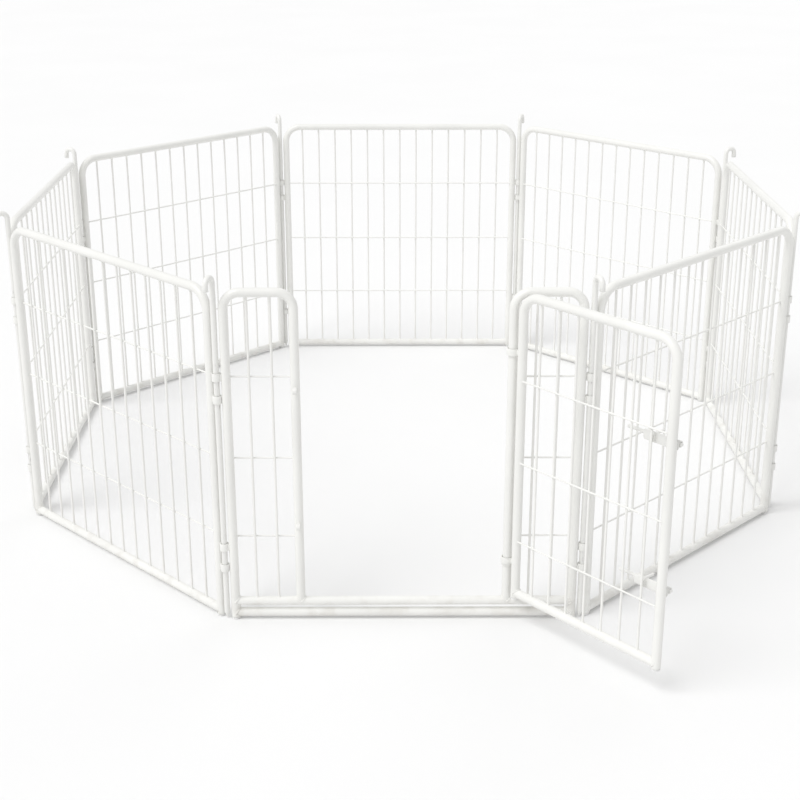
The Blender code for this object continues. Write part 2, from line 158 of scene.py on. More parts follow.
class Skins:
    """Surfaces gathered into one piece. Each is a grid of rings, (rings, sides, 3)."""

    def __init__(self):
        self.points = []
        self.quads = []
        self.ends = []
        self.count = 0

    def add(self, rings, around=False):
        """Add a grid that closes on itself along its sides, and along its rings too if around.

        Its faces are turned outwards if the volume inside them comes out negative.
        """
        rows, sides = rings.shape[:2]
        steps = rows if around else rows - 1
        row = np.arange(steps)[:, None]
        column = np.arange(sides)[None, :]
        next_row = (row + 1) % rows
        next_column = (column + 1) % sides
        quads = [row * sides + column, row * sides + next_column]
        quads += [next_row * sides + next_column, next_row * sides + column]
        quads = np.stack(quads, -1).reshape(-1, 4)
        ends = [] if around else [np.arange(sides)[::-1], (rows - 1) * sides + np.arange(sides)]
        points = rings.reshape(-1, 3)
        centred = points - points.mean(0)
        a, b, c, d = np.moveaxis(centred[quads], 1, 0)
        volume = volume_share(a, b, c) + volume_share(a, c, d)
        for end in ends:
            fan = centred[end]
            volume += volume_share(fan[0], fan[1:-1], fan[2:])
        if volume < 0:
            quads = quads[:, ::-1]
            ends = [end[::-1] for end in ends]
        self.points.append(points)
        self.quads.append(quads + self.count)
        self.ends += [end + self.count for end in ends]
        self.count += len(points)

    def set_in(self, axes):
        """The same surfaces, moved from a panel's own axes to the frame's."""
        origin, turn = axes
        placed = Skins()
        placed.points = [points @ turn + origin for points in self.points]
        placed.quads, placed.ends, placed.count = self.quads, self.ends, self.count
        return placed

    def piece(self, name, finish, body, slot, *nodes):
        """Make the piece, give it its finish, hang it on its body's empty and hide the parts that
        it stands for.
        """
        mesh = bpy.data.meshes.new(name)
        faces = np.concatenate(self.quads).tolist() + [end.tolist() for end in self.ends]
        mesh.from_pydata(np.concatenate(self.points).tolist(), [], faces)
        mesh.materials.append(finish)
        mesh.shade_smooth()
        mesh.set_sharp_from_angle(angle=CREASE_ANGLE)
        made = bpy.data.objects.new(name, mesh)
        bpy.context.scene.collection.objects.link(made)
        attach(made, body)
        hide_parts(*nodes)


def cut_end(last, inward):
    """Rings of a cut tube's end, from up its bore, round the lip and out to its last full ring.

    Rows hold a ring's centre, direction, radius and squeeze. inward is 1 where the direction leads
    into the tube, and -1 where it leads out.
    """
    depth = np.array([BORE_DEPTH, BORE_DEPTH, TUBE_LIP, 0.0, 0.0, TUBE_LIP])
    bore = tube_radius - TUBE_WALL
    rows = np.tile(last, (len(depth), 1))
    rows[:, :3] += inward * depth[:, None] * last[3:6]
    bore_side = [BORE_CAP_SHARE * bore, bore, bore, bore + TUBE_LIP / 2]
    rows[:, 6] = bore_side + [tube_radius - TUBE_LIP, tube_radius]
    return rows


def tube_frame(start, heading, runs, open_finish=True):
    """A bent tube, cut open at its start and mostly at its finish, narrowed a little in its bends.

    It is r (1 - f sin(pi b)^2) across the plane of a bend, where b is the share of the bend.
    """
    points, directions, bend = bent_line(start, heading, runs)
    squeeze = 1 - BEND_FLATTENING * np.sin(math.pi * bend) ** 2
    rows = np.column_stack([points, directions, np.full(len(points), tube_radius), squeeze])
    rows = np.concatenate([cut_end(rows[0], 1), rows[1:]])
    if open_finish:
        rows = np.concatenate([rows[:-1], cut_end(rows[-1], -1)[::-1]])
    return carried_ring(rows[:, :3], rows[:, 3:6], rows[:, 6], TUBE_SIDES, squeeze=rows[:, 7])


def arch_runs(width, left_foot, right_foot, corner_radius):
    """Runs of a tube that rises from one foot, bends over both top corners and comes down."""
    quarter = (corner_radius * math.pi / 2, -math.pi / 2, BEND_STEPS)
    left_rise = top_rail_height - corner_radius - left_foot
    right_rise = top_rail_height - corner_radius - right_foot
    top = (width - 2 * corner_radius, 0, 1)
    return [(left_rise, 0, 1), quarter, top, quarter, (right_rise, 0, 1)]


def straight_bar(first, last, radius, sides):
    """A round bar between two points, flat at both ends."""
    first, last = np.array(first, float), np.array(last, float)
    way = (last - first) / np.linalg.norm(last - first)
    return carried_ring(np.stack([first, last]), np.stack([way, way]), radius, sides)


def saddle_weld(place, way):
    """A rippled bead along the saddle where a rail along X meets an upright post.

    The seam is x = sqrt(R^2 - y^2) on the rail's circle, and the bead is a small circle carried
    round it, whose radius ripples as the weld pool froze.
    """
    seam = np.linspace(0, 2 * math.pi, WELD_SEAM_STEPS, endpoint=False)
    y, z = tube_radius * np.cos(seam), tube_radius * np.sin(seam)
    x = way * np.sqrt(np.maximum(tube_radius**2 - y**2, 0.0))
    bead = WELD_RADIUS * (1 + WELD_RIPPLE_DEPTH * np.cos(WELD_RIPPLES * seam))
    centre = np.stack([x, y, z], -1)
    outward = np.stack([np.zeros(WELD_SEAM_STEPS), np.cos(seam), np.sin(seam)], -1)
    round_bead = np.linspace(0, 2 * math.pi, WELD_BEAD_SIDES, endpoint=False)
    lift = np.cos(round_bead)[None, :, None] * outward[:, None, :]
    lift = lift + np.sin(round_bead)[None, :, None] * np.array([1.0, 0.0, 0.0])
    return np.array(place) + centre[:, None, :] + bead[:, None, None] * lift


def welded_rail(skins, left, right, height):
    """A straight rail coped between two posts, with a bead round each end."""
    first, last = (left + RAIL_COPE, 0, height), (right - RAIL_COPE, 0, height)
    skins.add(straight_bar(first, last, tube_radius, TUBE_SIDES))
    for post, way in ((left, 1), (right, -1)):
        skins.add(saddle_weld((post, 0, height), way), around=True)


plain_frame = Skins()
plain_frame.add(
    tube_frame(
        (-post_reach, POST_END_HEIGHT),
        math.pi / 2,
        arch_runs(2 * post_reach, POST_END_HEIGHT, POST_END_HEIGHT, PANEL_CORNER_RADIUS),
    )
)
welded_rail(plain_frame, -post_reach, post_reach, BOTTOM_RAIL_HEIGHT)


class Value:
    """A number that varies over a surface. Arithmetic on it adds Math nodes."""

    def __init__(self, finish, socket):
        self.finish = finish
        self.socket = socket

    def math(self, operation, first, second):
        return self.finish.node("Math", {"operation": operation}, {0: first, 1: second})

    def __add__(self, other):
        return self.math("ADD", self, other)

    def __sub__(self, other):
        return self.math("SUBTRACT", self, other)

    def __mul__(self, other):
        return self.math("MULTIPLY", self, other)

    def __rsub__(self, other):
        return self.math("SUBTRACT", other, self)

    __radd__ = __add__
    __rmul__ = __mul__


class Finish:
    """A surface finish, built as a node material round one Principled shader."""

    def __init__(self, name, **constants):
        self.material = bpy.data.materials.new(name)
        self.material.use_nodes = True
        self.tree = self.material.node_tree
        self.shader = self.tree.nodes["Principled BSDF"]
        for socket, constant in constants.items():
            self.shader.inputs[socket.replace("_", " ")].default_value = constant
        self.place = self.node("TexCoord", output="Object")

    def node(self, kind, settings=(), sockets=(), output=0):
        """Add one node. Its settings are set first, then the values or links of its sockets."""
        made = self.tree.nodes.new("ShaderNode" + kind)
        for setting, value in dict(settings).items():
            setattr(made, setting, value)
        for socket, value in dict(sockets).items():
            if isinstance(value, Value):
                self.tree.links.new(value.socket, made.inputs[socket])
            else:
                made.inputs[socket].default_value = value
        return Value(self, made.outputs[output])

    def grain(self, scale, detail=2.0, roughness=0.5, place=None):
        """Smooth noise from 0 to 1, with a cell of about 1 / scale metres."""
        sockets = {"Vector": place or self.place, "Scale": scale, "Detail": detail}
        return self.node("TexNoise", {}, {**sockets, "Roughness": roughness})

    def fade(self, value, low, high):
        """0 below low, 1 above high and a smooth step between."""
        sockets = {"Value": value, "From Min": low, "From Max": high}
        return self.node("MapRange", {"interpolation_type": "SMOOTHSTEP"}, sockets)

    def height(self):
        """Height above the floor, in metres."""
        return self.node("SeparateXYZ", {}, {0: self.place}, "Z")

    def blend(self, share, first, second):
        """A colour between two, where share goes from 0 to 1."""
        first = first if isinstance(first, Value) else (*first, 1)
        second = second if isinstance(second, Value) else (*second, 1)
        sockets = {0: share, 6: first, 7: second}
        return self.node("Mix", {"data_type": "RGBA"}, sockets, 2)

    def feed(self, socket, value):
        """Link a value that varies over the surface to one of the shader's sockets."""
        self.tree.links.new(value.socket, self.shader.inputs[socket])

    def relief(self, height, distance):
        """Raise the surface by a height that varies over it."""
        bump = self.node("Bump", {}, {"Height": height, "Distance": distance, "Strength": 1.0})
        self.feed("Normal", bump)


CLOUD_GRAIN = 9.0
SPECKLE_GRAIN = 420.0
DUST_GRAIN = 38.0
DUST_REACH = 0.10
DUST_TONE = (0.60, 0.57, 0.52)
DUST_COVER = 0.35
DUST_ROUGHNESS = 0.2
PEEL_DEPTH = 0.00012
FRAME_WHITE = (0.84, 0.838, 0.812)
FRAME_CLOUD = (0.805, 0.803, 0.778)
FRAME_ROUGHNESS = 0.30
FRAME_PEEL_GRAIN = 620.0


def powder_coat(name, tone, cloud_tone, roughness, peel_grain):
    """White powder coat: a faint orange peel, soft cloudy tone and a little floor dust low down."""
    coat = Finish(name, Metallic=0.0, IOR=1.5, Coat_Weight=0.12, Coat_Roughness=0.22)
    clouds = coat.grain(CLOUD_GRAIN, 3.0)
    speckle = coat.grain(SPECKLE_GRAIN, 1.0)
    near_floor = 1 - coat.fade(coat.height(), 0.0, DUST_REACH)
    dust = near_floor * coat.fade(coat.grain(DUST_GRAIN, 4.0), 0.42, 0.72)
    body = coat.blend(coat.fade(clouds, 0.35, 0.68), tone, cloud_tone)
    coat.feed("Base Color", coat.blend(dust * DUST_COVER, body, DUST_TONE))
    coat.feed("Roughness", roughness + clouds * 0.08 + speckle * 0.06 + dust * DUST_ROUGHNESS)
    peel = coat.grain(peel_grain, 2.0, 0.45)
    coat.relief(peel + speckle * 0.4, PEEL_DEPTH)
    return coat.material


frame_coat = powder_coat(
    "frame_powder_coat", FRAME_WHITE, FRAME_CLOUD, FRAME_ROUGHNESS, FRAME_PEEL_GRAIN
)


# ---- Rod sleeves on the posts -----------------------------------------------------------------
# Two short lengths of steel tube are welded to each post with a bead down each side. At a corner
# they interleave with the next panel's, so that one rod passes through all four.

SLEEVE_BORE = 0.0058
SLEEVE_OUTER = 0.0076
SLEEVE_HEIGHT = 0.014
SLEEVE_EDGE = 0.0006
SLEEVE_BEAD_RADIUS = 0.0014
SLEEVE_BEAD_OFFSET = 0.0034
FILLET_RIPPLE_PITCH = 0.0017
FILLET_RIPPLE_DEPTH = 0.035
FILLET_STEPS = 61
FILLET_SIDES = 12
FILLET_END_SHARE = 0.02
SLEEVE_SIDES = 36
SLEEVE_CORNER_STEPS = 4
START_SLEEVE_LEVELS = (0.140, 0.455)
END_SLEEVE_LEVELS = (0.100, 0.415)
WEB_HALF_WIDTH = 0.0024
WEB_HALF_HEIGHT = 0.0058
WEB_FLARE = 0.0004
WEB_STEPS = 15
WEB_SIDES = 24
RING_SINK = 0.0012
POST_SINK = 0.0008


def turned(profile, sides, place=(0, 0, 0)):
    """A profile of (radius, height) points turned about an upright axis."""
    profile = np.array(profile, float)
    angle = np.linspace(0, 2 * math.pi, sides, endpoint=False)
    ring = np.stack([np.cos(angle), np.sin(angle)], -1)
    flat = profile[:, :1, None].repeat(sides, 1) * ring[None]
    tall = profile[:, 1][:, None, None].repeat(sides, 1)
    return np.concatenate([flat, tall], -1) + np.array(place)


def sleeve_profile(bore, outer, height, edge):
    """A ring's section: a rectangle whose four corners are quarter circles of radius edge."""
    quarter = np.linspace(0, math.pi / 2, SLEEVE_CORNER_STEPS)
    section = []
    corners = (
        (outer - edge, height / 2 - edge, 0),
        (bore + edge, height / 2 - edge, 1),
        (bore + edge, -height / 2 + edge, 2),
        (outer - edge, -height / 2 + edge, 3),
    )
    for centre_r, centre_z, turn in corners:
        angle = quarter + turn * math.pi / 2
        radius = centre_r + edge * np.cos(angle)
        section.append(np.stack([radius, centre_z + edge * np.sin(angle)], -1))
    return np.concatenate(section)


def web(start, finish, half_width, half_height, flare):
    """A welded web along X: a squarish section that flares into the metal at both ends.

    Section: half sizes times sign(cos a) |cos a|^0.5, and the flare grows as the 6th power of the
    distance from mid-length.
    """
    along = np.linspace(-1, 1, WEB_STEPS)
    spread = flare * np.abs(along) ** 6
    angle = np.linspace(0, 2 * math.pi, WEB_SIDES, endpoint=False)
    across = np.sign(np.cos(angle)) * np.abs(np.cos(angle)) ** 0.5
    tall = np.sign(np.sin(angle)) * np.abs(np.sin(angle)) ** 0.5
    x = (start + finish) / 2 + along * (finish - start) / 2
    y = (half_width + spread)[:, None] * across[None, :]
    z = (half_height + spread)[:, None] * tall[None, :]
    return np.stack([np.broadcast_to(x[:, None], y.shape), y, z], -1)


def fillet_bead(x, y, low, high, radius):
    """A rippled bead up a line: its radius ripples along it and closes at each end.

    r = R (1 + d cos(k u)) sqrt(1 - u^6), where u goes from -1 to 1 along the bead, k sets the
    ripples' pitch and d their depth.
    """
    share = np.linspace(-1, 1, FILLET_STEPS)
    ripple = 1 + FILLET_RIPPLE_DEPTH * np.cos(share * math.pi * (high - low) / FILLET_RIPPLE_PITCH)
    radii = radius * ripple * np.sqrt(np.maximum(1 - np.abs(share) ** 6, FILLET_END_SHARE))
    height = (low + high) / 2 + share * (high - low) / 2
    points = np.stack([np.full(FILLET_STEPS, x), np.full(FILLET_STEPS, y), height], -1)
    return carried_ring(points, np.tile(up_axis, (FILLET_STEPS, 1)), radii, FILLET_SIDES)


rod_sleeve_section = sleeve_profile(SLEEVE_BORE, SLEEVE_OUTER, SLEEVE_HEIGHT, SLEEVE_EDGE)
panel_sleeves = Skins()
for way, levels in ((-1, START_SLEEVE_LEVELS), (1, END_SLEEVE_LEVELS)):
    for level in levels:
        sleeve = turned(rod_sleeve_section, SLEEVE_SIDES, (way * corner_reach, 0, level))
        panel_sleeves.add(sleeve, around=True)
        ring_end = way * (corner_reach - SLEEVE_OUTER + RING_SINK)
        post_end = way * (post_reach + tube_radius - POST_SINK)
        rod_web = web(ring_end, post_end, WEB_HALF_WIDTH, WEB_HALF_HEIGHT, WEB_FLARE)
        panel_sleeves.add(rod_web + np.array([0, 0, level]))
        seam = way * (corner_reach + post_reach + tube_radius - SLEEVE_OUTER) / 2
        low, high = level - WEB_HALF_HEIGHT, level + WEB_HALF_HEIGHT
        for y in (-SLEEVE_BEAD_OFFSET, SLEEVE_BEAD_OFFSET):
            panel_sleeves.add(fillet_bead(seam, y, low, high, SLEEVE_BEAD_RADIUS))


def gathered(*groups):
    """One Skins that holds several."""
    whole = Skins()
    for group in groups:
        whole.points += group.points
        whole.quads += [quads + whole.count for quads in group.quads]
        whole.ends += [end + whole.count for end in group.ends]
        whole.count += group.count
    return whole


for name in PLAIN_PANELS:
    whole_frame = gathered(plain_frame, panel_sleeves).set_in(panel_axes[name])
    whole_frame.piece(name + "_tube_frame", frame_coat, name, "frame_tube", name + "_frame")


# ---- Wire infill ------------------------------------------------------------------------------
# Upright wires of 4.4 mm and cross wires of 3.2 mm are spot welded where they cross, which squeezes
# a little metal out, and their ends are welded to the rails and posts with small beads.

UPRIGHT_RADIUS = 0.0022
CROSS_RADIUS = 0.0016
CROSS_SET_BACK = 0.0034
WIRE_SIDES = 14
CROSS_WIRE_COUNT = 3
PANEL_WIRE_COUNT = 13
WIRE_END_SINK = 0.0010
FLARE_REACH = np.array([0.0, 0.0009, 0.0014, 0.0022, 0.0034])
FLARE_SWELL = np.array([1.62, 1.50, 1.22, 1.05, 1.0])
SPOT_HALF_SIZES = (0.0030, 0.0013, 0.0026)
SPOT_POLE_ANGLE = 0.15
SPOT_RINGS = 5
SPOT_SIDES = 8
SPOT_SET_BACK = 0.85 * UPRIGHT_RADIUS
WIRE_WHITE = (0.85, 0.848, 0.822)
WIRE_CLOUD = (0.82, 0.818, 0.793)
WIRE_ROUGHNESS = 0.33
WIRE_PEEL_GRAIN = 900.0
wire_coat = powder_coat(
    "wire_powder_coat", WIRE_WHITE, WIRE_CLOUD, WIRE_ROUGHNESS, WIRE_PEEL_GRAIN
)


def wire(first, last, radius, side):
    """A wire with a weld flare at each end: its radius swells over its last 3.4 mm."""
    first, last = np.array(first, float), np.array(last, float)
    length = np.linalg.norm(last - first)
    way = (last - first) / length
    along = np.concatenate([FLARE_REACH, length - FLARE_REACH[::-1]])
    radii = radius * np.concatenate([FLARE_SWELL, FLARE_SWELL[::-1]])
    points = first + along[:, None] * way
    return carried_ring(points, np.repeat(way[None], len(points), 0), radii, WIRE_SIDES, side)


def spot_weld(place):
    """The metal squeezed out at a crossing, a small flattened ball.

    Its points are sin p cos a, sin p sin a and cos p, times its three half sizes.
    """
    polar = np.linspace(SPOT_POLE_ANGLE, math.pi - SPOT_POLE_ANGLE, SPOT_RINGS)[:, None]
    angle = np.linspace(0, 2 * math.pi, SPOT_SIDES, endpoint=False)[None, :]
    across, deep, tall = SPOT_HALF_SIZES
    x = across * np.sin(polar) * np.cos(angle)
    y = deep * np.sin(polar) * np.sin(angle)
    z = tall * np.cos(polar) * np.ones_like(angle)
    return np.stack([x, y, z], -1) + np.array(place)


def wire_infill(left, right, count, rail_height, back):
    """Upright wires at even spaces between two posts, and cross wires at quarter heights."""
    infill = Skins()
    low = rail_height + tube_radius - WIRE_END_SINK
    high = top_rail_height - tube_radius + WIRE_END_SINK
    places = np.linspace(left, right, count + 2)[1:-1]
    step = (top_rail_height - BOTTOM_RAIL_HEIGHT) / (CROSS_WIRE_COUNT + 1)
    levels = BOTTOM_RAIL_HEIGHT + step * np.arange(1, CROSS_WIRE_COUNT + 1)
    for x in places:
        infill.add(wire((x, 0, low), (x, 0, high), UPRIGHT_RADIUS, (0, 1, 0)))
    inner_left = left + tube_radius - 2 * WIRE_END_SINK
    inner_right = right - tube_radius + 2 * WIRE_END_SINK
    cross_y = back * CROSS_SET_BACK
    for z in levels:
        first, last = (inner_left, cross_y, z), (inner_right, cross_y, z)
        infill.add(wire(first, last, CROSS_RADIUS, (0, 0, 1)))
        for x in places:
            infill.add(spot_weld((x, back * SPOT_SET_BACK, z)))
    return infill


plain_infill = wire_infill(-post_reach, post_reach, PANEL_WIRE_COUNT, BOTTOM_RAIL_HEIGHT, 1)
for name in PLAIN_PANELS:
    placed = plain_infill.set_in(panel_axes[name])
    placed.piece(name + "_infill", wire_coat, name, "infill_wire", name + "_wires")


# ---- Door panel -------------------------------------------------------------------------------
# The same width as the others, but its tube is bent into a narrow bay each side of the doorway.
# A sill rail is welded just above the bottom rail, and a collar on the right jamb carries the leaf.

BAY_CORNER_RADIUS = 0.028
BAY_WIRE_COUNT = 2
SILL_HEIGHT = 0.034
COLLAR_RADIUS = 0.0097
COLLAR_HEIGHT = 0.004
COLLAR_EDGE = 0.0009
COLLAR_SINK = 0.0004
FIT_GAP = 0.0003
HINGE_LOOP_LEVELS = (0.115, 0.500)
HINGE_LOOP_HEIGHT = 0.012

door_origin, door_turn = panel_axes["door_panel"]
jamb_reach = (np.array(joint["door_swing"]["pos_m"]) - door_origin) @ door_turn[0]
bay_width = post_reach - jamb_reach
door_frame = Skins()
for way in (-1, 1):
    runs = arch_runs(bay_width, POST_END_HEIGHT, SILL_HEIGHT, BAY_CORNER_RADIUS)
    bay = tube_frame((-post_reach, POST_END_HEIGHT), math.pi / 2, runs, open_finish=False)
    door_frame.add(bay * np.array([-way, 1, 1]))
welded_rail(door_frame, -post_reach, post_reach, BOTTOM_RAIL_HEIGHT)
welded_rail(door_frame, -post_reach, post_reach, SILL_HEIGHT)
upright_seam = saddle_weld((0, 0, 0), 1)[..., [2, 1, 0]]
for x in (-jamb_reach, jamb_reach):
    door_frame.add(upright_seam + np.array([x, 0, SILL_HEIGHT]), around=True)
collar_level = HINGE_LOOP_LEVELS[0] - HINGE_LOOP_HEIGHT / 2 - FIT_GAP - COLLAR_HEIGHT / 2
collar = sleeve_profile(tube_radius - COLLAR_SINK, COLLAR_RADIUS, COLLAR_HEIGHT, COLLAR_EDGE)
door_frame.add(turned(collar, TUBE_SIDES, (jamb_reach, 0, collar_level)), around=True)
whole_frame = gathered(door_frame, panel_sleeves).set_in(panel_axes["door_panel"])
whole_frame.piece(
    "door_panel_tube_frame", frame_coat, "door_panel", "frame_tube", "door_panel_frame"
)
for name, left, right in (("left", -post_reach, -jamb_reach), ("right", jamb_reach, post_reach)):
    bay_infill = wire_infill(left, right, BAY_WIRE_COUNT, SILL_HEIGHT, 1)
    bay_infill = bay_infill.set_in(panel_axes["door_panel"])
    node = f"door_panel_{name}_wires"
    bay_infill.piece(f"door_panel_{name}_infill", wire_coat, "door_panel", "infill_wire", node)


# ---- Door leaf --------------------------------------------------------------------------------
# A lighter arch with its own bottom rail, hung on two loops that turn round the right jamb. It is
# shown swung outwards past square, with its outer face towards the panel beside it.

LEAF_BOTTOM_HEIGHT = 0.058
LEAF_POST_END_HEIGHT = 0.050
LEAF_CORNER_RADIUS = 0.034
LEAF_WIRE_COUNT = 7
LOOP_BORE = 0.0091
LOOP_OUTER = 0.0112
LOOP_EDGE = 0.0007
LOOP_WEB_HALF_WIDTH = 0.0028
LOOP_WEB_HALF_HEIGHT = 0.0048
LOOP_WEB_FLARE = 0.0009

hinge_place = np.array(joint["door_swing"]["pos_m"])
leaf_way = standing_axes("door_leaf_hinge_foot", "door_leaf_latch_foot")[1]
leaf_axes = (hinge_place * np.array([1, 1, 0]), leaf_way)
leaf_near = (middle("door_leaf_hinge_foot") - hinge_place) @ leaf_way[0]
leaf_far = (middle("door_leaf_latch_foot") - hinge_place) @ leaf_way[0]
leaf_frame = Skins()
leaf_runs = arch_runs(
    leaf_far - leaf_near, LEAF_POST_END_HEIGHT, LEAF_POST_END_HEIGHT, LEAF_CORNER_RADIUS
)
leaf_frame.add(tube_frame((leaf_near, LEAF_POST_END_HEIGHT), math.pi / 2, leaf_runs))
welded_rail(leaf_frame, leaf_near, leaf_far, LEAF_BOTTOM_HEIGHT)
loop_section = sleeve_profile(LOOP_BORE, LOOP_OUTER, HINGE_LOOP_HEIGHT, LOOP_EDGE)
loop_web_ends = LOOP_OUTER - RING_SINK, leaf_near - tube_radius + POST_SINK
loop_web = web(*loop_web_ends, LOOP_WEB_HALF_WIDTH, LOOP_WEB_HALF_HEIGHT, LOOP_WEB_FLARE)
for level in HINGE_LOOP_LEVELS:
    leaf_frame.add(turned(loop_section, TUBE_SIDES, (0, 0, level)), around=True)
    leaf_frame.add(loop_web + np.array([0, 0, level]))
leaf_frame = leaf_frame.set_in(leaf_axes)
leaf_frame.piece("door_leaf_tube_frame", frame_coat, "door_leaf", "frame_tube", "door_leaf_frame")
leaf_infill = wire_infill(leaf_near, leaf_far, LEAF_WIRE_COUNT, LEAF_BOTTOM_HEIGHT, -1)
leaf_infill = leaf_infill.set_in(leaf_axes)
leaf_infill.piece("door_leaf_infill", wire_coat, "door_leaf", "infill_wire", "door_leaf_wires")


# ---- Latches ----------------------------------------------------------------------------------
# Two slide bolts hold the door shut. Each runs in two eyes on a small steel plate that is welded
# to the leaf's free post and last wire, and its tip enters a keeper eye on the left jamb.

PLATE_LENGTH = 0.068
PLATE_PAST_POST = 0.006
PLATE_THICKNESS = 0.002
PLATE_CORNER = 0.004
PLATE_EDGE = 0.0005
PLATE_EDGE_SHARE = 0.3
PLATE_BEAD_OFFSET = 0.0042
PLATE_BEAD_RADIUS = 0.0011
PLATE_CORNER_STEPS = 6
PLATE_MARGIN = 0.0001
TAB_HALF_WIDTH = 0.0028
LATCH_WEB_FLARE = 0.0005
EYE_BORE = 0.0035
EYE_OUTER = 0.0057
EYE_LENGTH = 0.007
EYE_EDGE = 0.0006
EYE_INSET = 0.0045
EYE_SIDES = 28
EYE_FOOT_HALF_WIDTH = 0.0022
EYE_FOOT_HALF_HEIGHT = 0.0012
EYE_FOOT_FLARE = 0.0012
EYE_FOOT_LIFT = 0.0004
EYE_FOOT_SHORTER = 0.0012
BOLT_STAND_OFF = 0.0055
BOLT_RADIUS = 0.0029
BOLT_LENGTH = 0.108
BOLT_PAST_POST = 0.009
BOLT_HANDLE_FROM_TIP = 0.058
KEEPER_STEM_HALF_WIDTH = 0.0042
KEEPER_STEM_SINK = 0.0003
KEEPER_STEM_SHORTER = 0.0008
KEEPER_EYE_SINK = 0.0010
LATCH_WHITE = (0.81, 0.808, 0.785)
LATCH_CLOUD = (0.77, 0.768, 0.745)
LATCH_ROUGHNESS = 0.28
LATCH_PEEL_GRAIN = 700.0
BOLT_WHITE = (0.80, 0.798, 0.775)
BOLT_GRAIN_STRETCH = (0.2, 0.2, 1.0)
BOLT_RUB_GRAIN = 60.0
SCUFF_GRAIN = 260.0
SCUFF_GREY = (0.72, 0.72, 0.70)
BARE_STEEL = (0.56, 0.55, 0.54)
RUBBED_ROUGHNESS = 0.34
RUBBED_DEPTH = 0.0001
latch_coat = powder_coat(
    "latch_powder_coat", LATCH_WHITE, LATCH_CLOUD, LATCH_ROUGHNESS, LATCH_PEEL_GRAIN
)


def rubbed_coat(name, tone, grain_stretch, near_rub):
    """Powder coat on a sliding piece, scuffed through to bare steel in streaks where it is rubbed.

    grain_stretch squeezes the streaks' grain along each axis, so that they run along the piece.
    near_rub takes the finish and returns a value that is 1 where another piece rubs it, else 0.
    """
    coat = Finish(name, IOR=1.5, Coat_Weight=0.08, Coat_Roughness=0.25)
    stretch = coat.node("VectorMath", {"operation": "MULTIPLY"}, {0: coat.place, 1: grain_stretch})
    scuffs = coat.grain(SCUFF_GRAIN, 4.0, 0.62, stretch)
    rub = near_rub(coat)
    bare = coat.fade(scuffs + rub * 0.10, 0.68, 0.78) * rub
    burnish = coat.fade(scuffs, 0.3, 0.8) * rub
    coated = coat.blend(burnish * 0.35, tone, SCUFF_GREY)
    coat.feed("Base Color", coat.blend(bare * 0.8, coated, BARE_STEEL))
    coat.feed("Metallic", bare * 0.85)
    coat.feed("Roughness", RUBBED_ROUGHNESS + coat.grain(500.0, 1.0) * 0.08 - burnish * 0.10)
    coat.relief(coat.grain(640.0, 2.0) * 0.6 - bare * 0.5, RUBBED_DEPTH)
    return coat.material


def rounded_plate(half_length, half_height, corner, thickness, edge):
    """A plate in the XZ plane, growing along Y, with round corners and softened edges.

    Its outline is quarter circles about four corner centres, and it steps in by edge at each face.
    """
    quarter = np.linspace(0, math.pi / 2, PLATE_CORNER_STEPS)
    angle = (quarter[None, :] + np.arange(4)[:, None] * math.pi / 2).ravel()
    sign_x = np.array([1, -1, -1, 1]).repeat(PLATE_CORNER_STEPS)
    sign_z = np.array([1, 1, -1, -1]).repeat(PLATE_CORNER_STEPS)
    part = edge * PLATE_EDGE_SHARE
    depth = np.array([0, part, edge, thickness - edge, thickness - part, thickness])
    inset = np.array([edge, part, 0, 0, part, edge])
    x = sign_x * (half_length - corner) + (corner - inset)[:, None] * np.cos(angle)[None, :]
    z = sign_z * (half_height - corner) + (corner - inset)[:, None] * np.sin(angle)[None, :]
    return np.stack([x, np.broadcast_to(depth[:, None], x.shape), z], -1)


def lying(rings):
    """Turn a ring from the upright axis to X."""
    return rings[..., [2, 1, 0]]


eye = lying(turned(sleeve_profile(EYE_BORE, EYE_OUTER, EYE_LENGTH, EYE_EDGE), EYE_SIDES))
plate_back = tube_radius + FIT_GAP
plate_front = plate_back + PLATE_THICKNESS
bolt_y = plate_front + BOLT_STAND_OFF
bolt_coat = rubbed_coat(
    "bolt_rubbed_coat", BOLT_WHITE, BOLT_GRAIN_STRETCH, lambda coat: coat.grain(BOLT_RUB_GRAIN)
)
leaf_pitch = (leaf_far - leaf_near) / (LEAF_WIRE_COUNT + 1)
